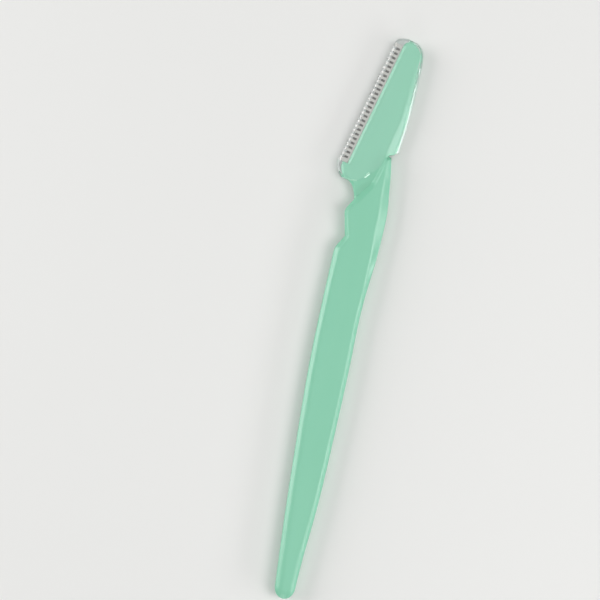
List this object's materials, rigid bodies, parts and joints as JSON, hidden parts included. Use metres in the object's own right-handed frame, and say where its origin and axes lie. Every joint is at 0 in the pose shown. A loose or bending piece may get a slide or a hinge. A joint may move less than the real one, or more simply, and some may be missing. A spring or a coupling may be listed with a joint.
{
  "type": "eyebrow razor",
  "caption": "Slim moulded handle with a stepped neck and a thin leaning head that holds a straight blade behind a slotted steel guard, under a clear pull-off cover.",
  "frame": {"origin": "centre of the bounding box in X and Y, on the flat underside at Z = 0", "axes": "+Z is the front, which faces up when the razor lies on its back; +X runs along the grip to the tail; -Y is the side that the cutting edge faces"},
  "size_m": [0.1546, 0.017, 0.0044],
  "materials": {
    "mint_plastic": "satin moulded",
    "steel": "bright rolled strip",
    "clear_plastic": "clear polished"
  },
  "bodies": {
    "razor": {"handle": "mint_plastic", "blade": "steel", "guard": "steel"},
    "cover": {"cover": "clear_plastic"}
  },
  "joints": [
    {"name": "cover_slide", "type": "slide", "parent": "razor", "child": "cover", "axis": [-0.9713, 0.2377, 0], "range_m": [0, 0.045]}
  ]
}
